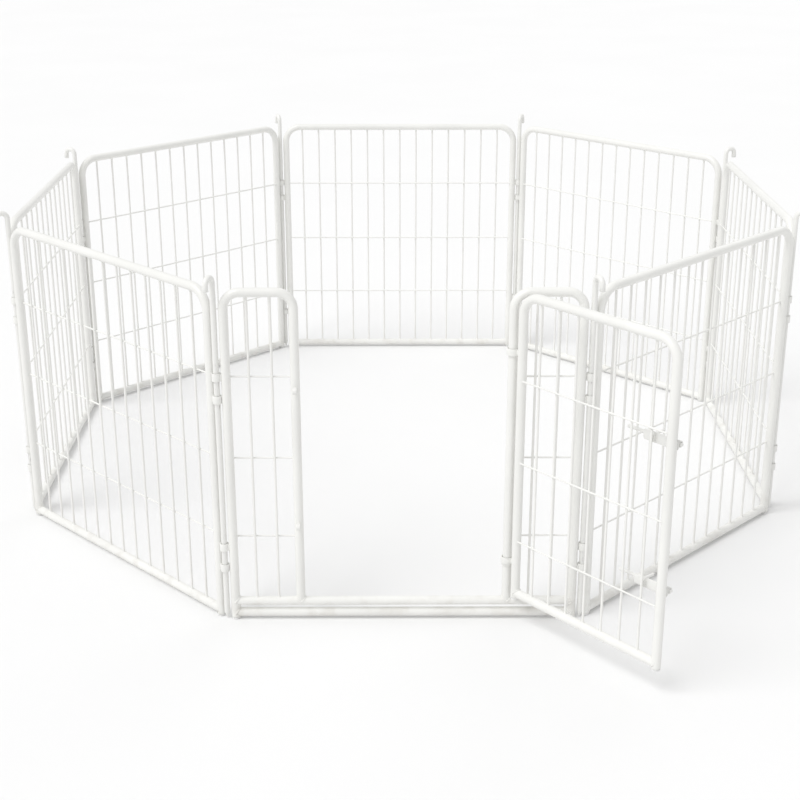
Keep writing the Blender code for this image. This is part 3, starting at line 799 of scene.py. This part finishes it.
# Along the shank and out along the handle, each pair is a distance and the radius there.
shank = np.array(
    [(0, 0.0012), (0.0006, 0.0022), (0.0016, BOLT_RADIUS), (BOLT_LENGTH - 0.0016, BOLT_RADIUS)]
    + [(BOLT_LENGTH - 0.0006, 0.0022), (BOLT_LENGTH, 0.0012)]
)
handle = np.array(
    [(0, 0.0036), (0.0024, 0.0036), (0.0032, 0.0031), (0.0044, 0.0027), (0.0060, 0.0025)]
    + [(0.0190, 0.0025), (0.0215, 0.0027), (0.0238, 0.0027), (0.0252, 0.0021), (0.0259, 0.0009)]
)
for height_name in ("lower", "upper"):
    bracket_node = height_name + "_latch_bracket"
    level = middle(bracket_node)[2]
    low, high = (np.array(corner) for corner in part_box(bracket_node))
    half_height = (high[2] - low[2]) / 2 - PLATE_MARGIN
    right_end = leaf_far + PLATE_PAST_POST
    left_end = right_end - PLATE_LENGTH
    bracket = Skins()
    plate_sizes = PLATE_LENGTH / 2, half_height, PLATE_CORNER, PLATE_THICKNESS, PLATE_EDGE
    plate = rounded_plate(*plate_sizes)
    bracket.add(plate + np.array([(left_end + right_end) / 2, plate_back, level]))
    for x in (leaf_far - PLATE_BEAD_OFFSET, leaf_far + PLATE_BEAD_OFFSET):
        reach = half_height - PLATE_CORNER / 2
        bead_y = plate_back - PLATE_BEAD_RADIUS / 2
        bracket.add(fillet_bead(x, bead_y, level - reach, level + reach, PLATE_BEAD_RADIUS))
    tab = web(-1, 1, TAB_HALF_WIDTH, half_height - PLATE_CORNER, LATCH_WEB_FLARE)
    tab = tab[..., [1, 0, 2]] * np.array([1, (plate_back - UPRIGHT_RADIUS) / 2, 1])
    tab_place = np.array([leaf_far - leaf_pitch, (plate_back + UPRIGHT_RADIUS) / 2, level])
    bracket.add(tab + tab_place)
    foot_half_length = EYE_LENGTH / 2 - EYE_FOOT_SHORTER
    foot = web(-1, 1, EYE_FOOT_HALF_WIDTH, foot_half_length, EYE_FOOT_FLARE)
    foot = foot[..., [2, 0, 1]] * np.array([1, EYE_FOOT_HALF_HEIGHT, 1])
    for x in (left_end + EYE_INSET, right_end - EYE_INSET):
        bracket.add(eye + np.array([x, bolt_y, level]), around=True)
        bracket.add(foot + np.array([x, plate_front + EYE_FOOT_LIFT, level]))
    bracket = bracket.set_in(leaf_axes)
    bracket.piece(height_name + "_latch_plate", latch_coat, "door_leaf", "latch", bracket_node)

    bolt_node = height_name + "_latch_bolt"
    tip = leaf_far + BOLT_PAST_POST
    bolt_place = np.array([0, bolt_y, level])
    bolt = Skins()
    line = np.stack([tip - BOLT_LENGTH + shank[:, 0], 0 * shank[:, 0], 0 * shank[:, 0]], -1)
    ways = np.tile([1.0, 0, 0], (len(shank), 1))
    bolt.add(carried_ring(line, ways, shank[:, 1], EYE_SIDES) + bolt_place)
    handle_x = tip - BOLT_HANDLE_FROM_TIP
    line = np.stack([np.full(len(handle), handle_x), handle[:, 0], 0 * handle[:, 0]], -1)
    ways = np.tile([0, 1.0, 0], (len(handle), 1))
    bolt.add(carried_ring(line, ways, handle[:, 1], EYE_SIDES, (0, 0, 1)) + bolt_place)
    bolt = bolt.set_in(leaf_axes)
    bolt.piece(height_name + "_slide_bolt", bolt_coat, bolt_node, "latch", bolt_node)

    keeper_node = height_name + "_latch_keeper"
    keeper = Skins()
    keeper.add(eye + np.array([-jamb_reach, -bolt_y, level]), around=True)
    stem_half_length = EYE_LENGTH / 2 - KEEPER_STEM_SHORTER
    stem = web(-1, 1, KEEPER_STEM_HALF_WIDTH, stem_half_length, LATCH_WEB_FLARE)
    stem_half = (bolt_y - EYE_OUTER + KEEPER_EYE_SINK - plate_back) / 2 + LATCH_WEB_FLARE
    stem = stem[..., [2, 0, 1]] * np.array([1, stem_half, 1])
    stem_y = plate_back + stem_half - KEEPER_STEM_SINK
    keeper.add(stem + np.array([-jamb_reach, -stem_y, level]))
    keeper = keeper.set_in(panel_axes["door_panel"])
    keeper.piece(height_name + "_keeper_eye", latch_coat, "door_panel", "latch", keeper_node)


# ---- Joining rods -----------------------------------------------------------------------------
# A 10 mm steel rod drops through the four sleeves of each corner. Its foot is ground to a point, to
# stand in a lawn, and its top is bent over into a hook to lift it by. The sleeves rub its coat.

ROD_RADIUS = 0.005
ROD_FOOT_HEIGHT = 0.001
ROD_STRAIGHT_TOP = 0.618
HOOK_RADIUS = 0.011
HOOK_TAIL = 0.010
HOOK_STEPS = 20
ROD_POINT_HEIGHT = 0.014
ROD_TAIL_CHAMFER = 0.0012
ROD_SIDES = 28
RUB_REACH = 0.030
ROD_WHITE = (0.825, 0.823, 0.80)
ROD_GRAIN_STRETCH = (1.0, 1.0, 0.16)


def near_sleeves(coat):
    """1 within a sleeve's length of either group of sleeves, fading out above and below."""
    height = coat.height()
    bands = []
    for group in zip(END_SLEEVE_LEVELS, START_SLEEVE_LEVELS):
        away = coat.node("Math", {"operation": "ABSOLUTE"}, {0: height - sum(group) / 2})
        bands.append(1 - coat.fade(away, RUB_REACH, 2 * RUB_REACH))
    return bands[0] + bands[1]


rod_coat = rubbed_coat("rod_rubbed_coat", ROD_WHITE, ROD_GRAIN_STRETCH, near_sleeves)

rise = ROD_STRAIGHT_TOP - ROD_FOOT_HEIGHT - ROD_POINT_HEIGHT
hook_runs = [
    (rise, 0, 1),
    (math.pi * HOOK_RADIUS, -math.pi, HOOK_STEPS),
    (HOOK_TAIL - ROD_TAIL_CHAMFER, 0, 1),
]
rod_start = (0.0, ROD_FOOT_HEIGHT + ROD_POINT_HEIGHT)
hook_points, hook_ways, _ = bent_line(rod_start, math.pi / 2, hook_runs)
# Heights and radii up the ground point, then drops and radii down the hook's chamfered tail.
point_height = ROD_FOOT_HEIGHT + np.array([0.0, 0.0006, 0.0020, 0.0120])
point_radius = np.array([0.0004, 0.0010, 0.0016, 0.0047])
point_line = point_height[:, None] * up_axis
tail_line = hook_points[-1] - np.array([0.0005, 0.0009, ROD_TAIL_CHAMFER])[:, None] * up_axis
tail_radius = np.array([0.0046, 0.0038, 0.0024])
rod_line = np.concatenate([point_line, hook_points, tail_line])
rod_ways = np.concatenate([np.tile(up_axis, (4, 1)), hook_ways, np.tile(-up_axis, (3, 1))])
rod_radii = np.concatenate([point_radius, np.full(len(hook_points), ROD_RADIUS), tail_radius])
rod_rings = carried_ring(rod_line, rod_ways, rod_radii, ROD_SIDES)
for number, name in enumerate(PANELS):
    before = PANELS[number - 1]
    rod_name = f"rod_{before}_to_{name}".replace("_panel", "")
    origin, turn = panel_axes[name]
    corner = origin - corner_reach * turn[0]
    rod_low, rod_high = (np.array(side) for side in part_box(rod_name))
    hook_way = ((rod_low + rod_high) / 2 - corner) * np.array([1, 1, 0])
    hook_way /= np.linalg.norm(hook_way)
    rod = Skins()
    rod.add(rod_rings)
    rod_axes = np.array([hook_way, [-hook_way[1], hook_way[0], 0], up_axis])
    rod = rod.set_in((corner * np.array([1, 1, 0]), rod_axes))
    rod.piece(rod_name.replace("rod_", "hooked_rod_"), rod_coat, rod_name, "joining_rod", rod_name)


# ---- Foot plugs -------------------------------------------------------------------------------
# Moulded polyethylene plugs close the cut ends of the posts and keep them from marking the floor.
# Each is a low button with a rolled edge on a ribbed stem that grips the inside of the tube.

PLUG_HEAD_HEIGHT = 0.0033
PLUG_STEM_TOP = 0.0132
PLUG_STEM_RADIUS = 0.0066
PLUG_RIB_DEPTH = 0.0003
PLUG_RIBS = 5
PLUG_RIB_STEPS = 5
PLUG_SIDES = 32
PLUG_WHITE = (0.80, 0.80, 0.79)
PLUG_SCUFF = (0.62, 0.61, 0.58)
PLUG_GRAIN_DEPTH = 0.00008
plug_plastic = Finish("foot_polyethylene", Metallic=0.0, IOR=1.51)
scuff = plug_plastic.fade(plug_plastic.grain(300.0, 4.0, 0.6), 0.5, 0.75)
plug_plastic.feed("Base Color", plug_plastic.blend(scuff * 0.5, PLUG_WHITE, PLUG_SCUFF))
plug_plastic.feed("Roughness", 0.5 + scuff * 0.2)
plug_plastic.relief(plug_plastic.grain(1500.0, 2.0), PLUG_GRAIN_DEPTH)

stem_heights = np.linspace(PLUG_HEAD_HEIGHT, PLUG_STEM_TOP, PLUG_RIB_STEPS * PLUG_RIBS + 1)
rib_turns = np.linspace(0, 2 * math.pi * PLUG_RIBS, len(stem_heights))
stem_radii = PLUG_STEM_RADIUS - PLUG_RIB_DEPTH * np.cos(rib_turns)
# Up the outside of the head, each pair is a radius and the height there.
head = [(0.0005, 0.0), (0.0066, 0.0), (0.0072, 0.0003), (0.0076, 0.0009), (0.0076, 0.0026)]
head += [(0.0073, 0.0031), (0.0068, PLUG_HEAD_HEIGHT)]
stem = np.stack([stem_radii, stem_heights], -1)
plug_profile = np.concatenate([head, stem, [(0.0005, PLUG_STEM_TOP + 0.0002)]])
plug_nodes = [(f"{name}_{end}_foot", name) for name in PANELS for end in ("start", "end")]
plug_nodes += [(f"door_leaf_{end}_foot", "door_leaf") for end in ("hinge", "latch")]
for node, body in plug_nodes:
    place = middle(node)
    place[2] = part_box(node)[0].z
    plug = Skins()
    plug.add(turned(plug_profile, PLUG_SIDES, place))
    plug.piece(node + "_plug", plug_plastic.material, body, "foot_plug", node)


# ---- Floor, light and camera ------------------------------------------------------------------
# A pale studio floor under a broad overhead light from the left, in an even white room, so that
# white tube still shows a soft grey side. The room is seen as bright as the floor, but lights the
# pen a little less than that.

FLOOR_HALF_WIDTH = 30.0
FLOOR_GRAIN = 1.3
FLOOR_WHITE = (0.86, 0.86, 0.86)
FLOOR_CLOUD = (0.85, 0.85, 0.85)
bpy.ops.mesh.primitive_plane_add(size=2 * FLOOR_HALF_WIDTH, location=(0, 0, 0))
floor = bpy.context.object
floor.name = "studio_floor"
floor_finish = Finish("studio_floor_paint", Roughness=0.8, IOR=1.2)
floor_tone = floor_finish.fade(floor_finish.grain(FLOOR_GRAIN, 3.0), 0.3, 0.7)
floor_finish.feed("Base Color", floor_finish.blend(floor_tone, FLOOR_WHITE, FLOOR_CLOUD))
floor.data.materials.append(floor_finish.material)


def broad_light(name, way, spread, strength):
    """A distant light whose rays travel along way, softened over an angle of spread degrees."""
    lamp = bpy.data.lights.new(name, "SUN")
    lamp.angle = math.radians(spread)
    lamp.energy = strength
    made = bpy.data.objects.new(name, lamp)
    made.rotation_euler = Vector(way).to_track_quat("-Z", "Y").to_euler()
    bpy.context.scene.collection.objects.link(made)


KEY_WAY, KEY_SPREAD, KEY_STRENGTH = (0.62, 0.42, -1.0), 38, 1.6
RIM_WAY, RIM_SPREAD, RIM_STRENGTH = (-0.5, -0.9, -0.75), 50, 0.3
broad_light("key_light", KEY_WAY, KEY_SPREAD, KEY_STRENGTH)
broad_light("rim_light", RIM_WAY, RIM_SPREAD, RIM_STRENGTH)

ROOM_LIGHT = 0.70
ROOM_AS_SEEN = 0.985
room = bpy.data.worlds.new("studio")
room.use_nodes = True
room_nodes, room_links = room.node_tree.nodes, room.node_tree.links
room_nodes["Background"].inputs["Color"].default_value = (1.0, 1.0, 1.0, 1)
ray = room_nodes.new("ShaderNodeLightPath")
strength = room_nodes.new("ShaderNodeMapRange")
strength.inputs["To Min"].default_value = ROOM_LIGHT
strength.inputs["To Max"].default_value = ROOM_AS_SEEN
room_links.new(ray.outputs["Is Camera Ray"], strength.inputs["Value"])
room_links.new(strength.outputs["Result"], room_nodes["Background"].inputs["Strength"])
bpy.context.scene.world = room
bpy.context.scene.view_settings.view_transform = "Standard"

CAMERA_DISTANCE = 3.033
CAMERA_HEIGHT = 1.278
CAMERA_PITCH = 0.3628
CAMERA_YAW = 0.0046
CAMERA_SIDE_STEP = -0.0167
CAMERA_LENS = 65.24
CAMERA_SENSOR = 36.0
centre_y = door_origin[1] + corner_reach / math.tan(math.pi / len(PANELS))
camera_data = bpy.data.cameras.new("camera")
camera_data.lens = CAMERA_LENS
camera_data.sensor_width = CAMERA_SENSOR
camera = bpy.data.objects.new("camera", camera_data)
camera.location = (CAMERA_SIDE_STEP, centre_y - CAMERA_DISTANCE, CAMERA_HEIGHT)
camera.rotation_euler = (math.pi / 2 - CAMERA_PITCH, 0, -CAMERA_YAW)
bpy.context.scene.collection.objects.link(camera)
bpy.context.scene.camera = camera
